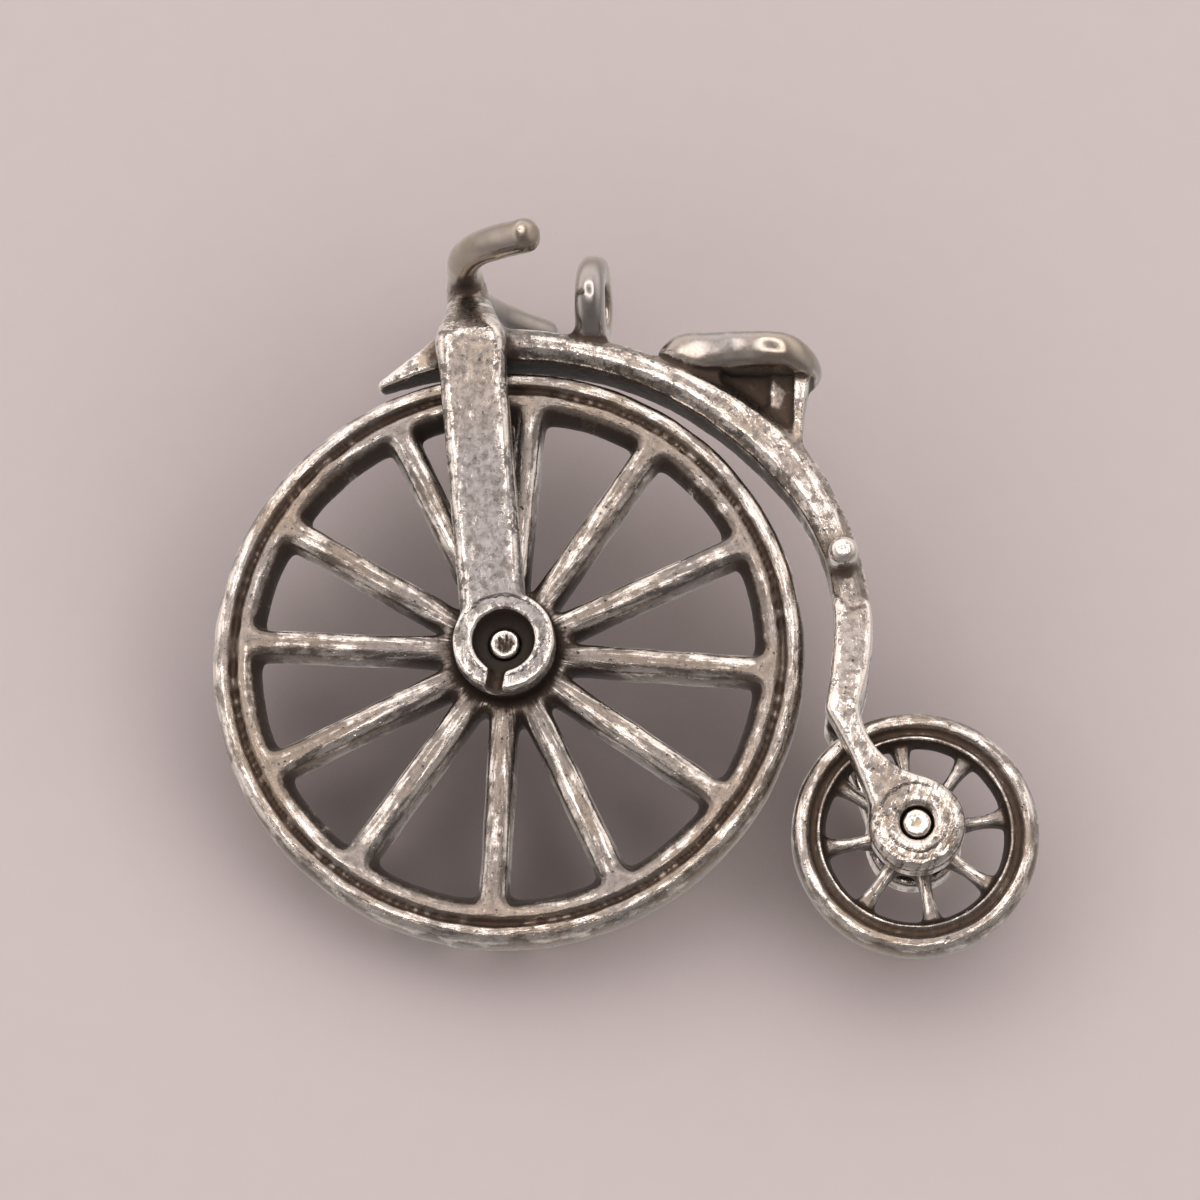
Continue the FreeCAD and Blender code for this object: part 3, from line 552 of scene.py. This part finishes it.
def materials():
    """The record's four slots. Brighter and smoother where fingers rub, dull and dark in the recesses, with patina
    and painted shade.
    """
    rings = ((FRONT_AXLE, 1.24, 0.16, 0.45), (REAR_AXLE, 1.02, 0.16, 0.30))
    return {
        "cast_silver": silver(
            "cast_silver", (0.37, 0.335, 0.31), (0.095, 0.062, 0.042),
            wear=0.03, grime_and_shade_amount=0.04, polish=0.03, pitting=1.0,
            rings=rings, patchy=0.30, stand_out=0.45, veined=0.45,
        ),
        "wheel_silver": silver(
            "wheel_silver", (0.31, 0.28, 0.26), (0.10, 0.062, 0.040),
            wear=-0.03, grime_and_shade_amount=0.15, polish=0.02, pitting=1.1,
            patchy=0.14, stand_out=0.22, flecked=0.45, dull_spokes=0.16,
        ),
        "polished_silver": silver(
            "polished_silver", (0.44, 0.415, 0.40), (0.12, 0.085, 0.065),
            wear=0.02, grime_and_shade_amount=-0.16, polish=0.13, pitting=0.10, patchy=0.02, stand_out=0.05,
        ),
        "pin_silver": silver(
            "pin_silver", (0.45, 0.39, 0.33), (0.10, 0.065, 0.042),
            wear=0.05, grime_and_shade_amount=0.10, polish=0.0, pitting=1.1,
        ),
    }


# ---- The charm -----------------------------------------------------------------------------------

def dress_body(body, slots, voxel, fillet, rounding, wear, unevenness):
    """Gives all of a body's nodes, but for the pins, one skin that is cut up between them.
    Rounding and wear are numbers of smoothing steps."""
    nodes = [node for node in BODIES[body] if node not in PINS]
    skin = cast_skin(nodes, voxel, fillet, rounding)
    owner = [0] * len(skin.vertices)
    if len(nodes) > 1:
        owner = majority(nearest_node(skin, nodes), len(nodes), edges_of(skin))
    soften_nodes(skin, owner, nodes, voxel)
    wear_down(skin, wear)
    roughen(skin, nodes, unevenness, seed=len(nodes))
    mark_wear(skin, voxel)
    polished = np.array([SLOTS[nodes[own]] == "polished_silver" for own in owner], float)[:, None]
    mark_dirt_and_shade(skin, body, polished)
    if body in WHEELS:
        carve_groove(skin, body)
        owner = [0] * len(skin.vertices)
    mark_grain(skin, body)
    mark_cool(skin, owner, nodes)
    for index, node in enumerate(nodes):
        piece(part_of(skin, owner, index, node + "_skin"), node, body, slots[SLOTS[node]])


PIN_HEAD_FROM = 1.30
PIN_HEAD_GROWTH = {"front_axle_pin": 0.0, "rear_axle_pin": 0.06}


def dress_pins(slots):
    """The pins have a skin of their own. Their shanks are a hair thinner than the CAD pins, so that
    the wheels stay free of them."""
    for node in PINS:
        voxel = 0.045
        skin = cast_skin([node], voxel, 0.0, 10)
        roughen(skin, [node], 0.03, seed=9)
        head = abs(points_of(skin)[:, 1:2]) > PIN_HEAD_FROM
        grow(skin, np.where(head, PIN_HEAD_GROWTH[node], -0.03))
        mark_wear(skin, voxel)
        mark_dirt_and_shade(skin, "pins")
        mark_grain(skin, "pins")
        owner = [0] * len(skin.vertices)
        piece(part_of(skin, owner, 0, node + "_skin"), node, "frame", slots[SLOTS[node]])


# ---- Stage, light and camera ---------------------------------------------------------------------

# The photo's camera: angles in degrees, distance in millimetres from the point it looks at
TURN, TILT, ROLL = 3.581, -15.981, 1.712
DISTANCE = 100.0
LENS = 98.36
AIM = FRONT_AXLE + Vector((2.740, 0.0, 1.823))
# In metres
HALF_TABLE = 0.5


def camera_axes():
    """Right, up and back of the camera, which looks a little up at the bicycle's left side."""
    turn, tilt = math.radians(TURN), math.radians(TILT)
    level = math.cos(tilt)
    back = Vector((math.sin(turn) * level, -math.cos(turn) * level, math.sin(tilt)))
    right = Vector((math.cos(turn), math.sin(turn), 0.0))
    up = back.cross(right)
    roll = Quaternion(back, math.radians(ROLL))
    return roll @ right, roll @ up, back


def add_camera():
    data = bpy.data.cameras.new("camera")
    data.lens = LENS
    data.sensor_width = 36.0
    data.clip_start = 1.0 * MM
    data.clip_end = 10.0
    camera = bpy.data.objects.new("camera", data)
    bpy.context.scene.collection.objects.link(camera)
    right, up, back = camera_axes()
    axes = Matrix((right, up, back)).transposed().to_4x4()
    camera.matrix_world = Matrix.Translation((AIM + back * DISTANCE) * MM) @ axes
    bpy.context.scene.camera = camera


def table_material():
    """Pale board with a painted shadow round the charm, seen from its front only, so that the charm's back can be
    looked at too.
    """
    material = bpy.data.materials.new("table")
    material.use_nodes = True
    n = Nodes(material.node_tree)
    where = n.add("TexCoord").outputs["Object"]
    grain = n.noise(where, 900.0, 3.0)
    colour = n.mix(grain, (0.590, 0.520, 0.500), (0.612, 0.540, 0.520))
    # Painted shadow: ambient occlusion within 4.5 mm darkens the board where the charm is near.
    near = n.add("AmbientOcclusion", {"Distance": 4.5 * MM}, samples=8).outputs["AO"]
    colour = n.mix(n.spread(near, 0.25, 1.0, 0.48, 0.0), colour, (0.0, 0.0, 0.0))
    board = n.add("BsdfPrincipled", {"Base Color": colour, "Roughness": 0.9})
    behind = n.add("NewGeometry").outputs["Backfacing"]
    clear = n.add("BsdfTransparent")
    shown = n.add("MixShader", {0: behind, 1: board.outputs[0], 2: clear.outputs[0]})
    n.add("OutputMaterial", {"Surface": shown.outputs[0]})
    return material


def add_table():
    """The table that the charm lies on, behind its right side. It touches the handlebar's end, the
    side of the front tyre and the edge of the rear leg's eyelet."""
    low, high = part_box("handlebar")
    grip = Vector((high.x, high.y, low.z)) / MM
    low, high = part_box("rear_fork_leg_right")
    eyelet = Vector((REAR_AXLE.x, high.y / MM, low.z / MM))
    low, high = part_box("front_wheel")
    tyre = Vector((FRONT_AXLE.x, TYRE_SIDE, low.z / MM))
    away = (eyelet - tyre).cross(tyre - grip).normalized()
    if away.y < 0:
        away = -away
    furthest = max(
        away.dot(vertex.co) for thing in frame["nodes"].values() for vertex in thing.data.vertices
    )
    along = away.cross(Vector((0.0, 0.0, 1.0))).normalized()
    steep = away.cross(along)
    centre = AIM * MM + away * (furthest - away.dot(AIM * MM))
    corners = [
        centre + along * a * HALF_TABLE + steep * b * HALF_TABLE
        for a, b in ((-1, -1), (1, -1), (1, 1), (-1, 1))
    ]
    mesh = bpy.data.meshes.new("table")
    mesh.from_pydata(corners, [], [(0, 1, 2, 3)])
    if mesh.polygons[0].normal.y > 0:
        mesh.flip_normals()
    mesh.materials.append(table_material())
    table = bpy.data.objects.new("table", mesh)
    bpy.context.scene.collection.objects.link(table)
    table.visible_glossy = False
    table.visible_diffuse = False
    table.visible_shadow = False


def add_world():
    """A pale room. Light comes from the sides, most of it from above to the left, and the person
    with the camera leaves a dark patch in front. What the metal mirrors has a ring lamp in it."""
    world = bpy.data.worlds.new("room")
    bpy.context.scene.world = world
    world.use_nodes = True
    n = Nodes(world.node_tree)
    where = n.add("TexCoord").outputs["Generated"]

    def along(*direction):
        length = math.sqrt(sum(part * part for part in direction))
        unit = [part / length for part in direction]
        return n.add("VectorMath", {0: where, 1: unit}, operation="DOT_PRODUCT").outputs["Value"]

    front = along(0.0, -1.0, 0.0)
    above = along(-0.30, -0.10, 0.95)
    not_in_front = n.spread(front, 0.45, 0.90, 1.0, 0.02)
    shed = n.math("MULTIPLY", not_in_front, n.spread(above, -0.80, 0.60, 1.0, 0.70))
    shed = n.mix(shed, (0.03, 0.027, 0.025), (2.65, 2.50, 2.55))

    sides = n.math("MULTIPLY", n.spread(front, 0.50, 0.85, 1.0, 0.0), n.spread(front, -0.25, 0.25))
    sides = n.math("MULTIPLY", sides, n.spread(along(-0.25, 0.0, 0.97), -0.65, 0.40, 0.05, 1.0))
    lamp_at = along(-0.08, -0.945, 0.33)
    dark_core = n.spread(lamp_at, 0.965, 0.985, 1.0, 0.0)
    lamp = n.math("MULTIPLY", n.spread(lamp_at, 0.880, 0.925), dark_core)
    from_behind = n.spread(front, -0.45, -0.05, 0.30, 0.0)
    ambient = n.math("ADD", n.spread(above, -0.60, 0.80, 0.16, 0.50), from_behind)
    level = n.math("ADD", ambient, n.math("MULTIPLY", sides, 0.8))
    level = n.math("ADD", level, n.math("MULTIPLY", lamp, 2.9))
    mirrored = n.add("VectorMath", {0: (1.0, 0.915, 0.88), 3: level}, operation="SCALE").outputs[0]

    path = n.add("LightPath")
    colour = n.mix(path.outputs["Is Glossy Ray"], shed, mirrored)
    colour = n.mix(path.outputs["Is Camera Ray"], colour, (0.62, 0.555, 0.54))
    background = n.add("Background", {"Color": colour, "Strength": 1.0})
    n.add("OutputWorld", {"Surface": background.outputs[0]})


def main():
    slots = materials()
    dress_body("frame", slots, voxel=0.065, fillet=0.10, rounding=6, wear=6, unevenness=0.030)
    dress_body("front_wheel", slots, voxel=0.096, fillet=0.0, rounding=3, wear=22, unevenness=0.030)
    dress_body("rear_wheel", slots, voxel=0.060, fillet=0.0, rounding=3, wear=18, unevenness=0.020)
    dress_pins(slots)
    add_table()
    add_world()
    add_camera()
    bpy.context.scene.view_settings.view_transform = "Standard"


main()
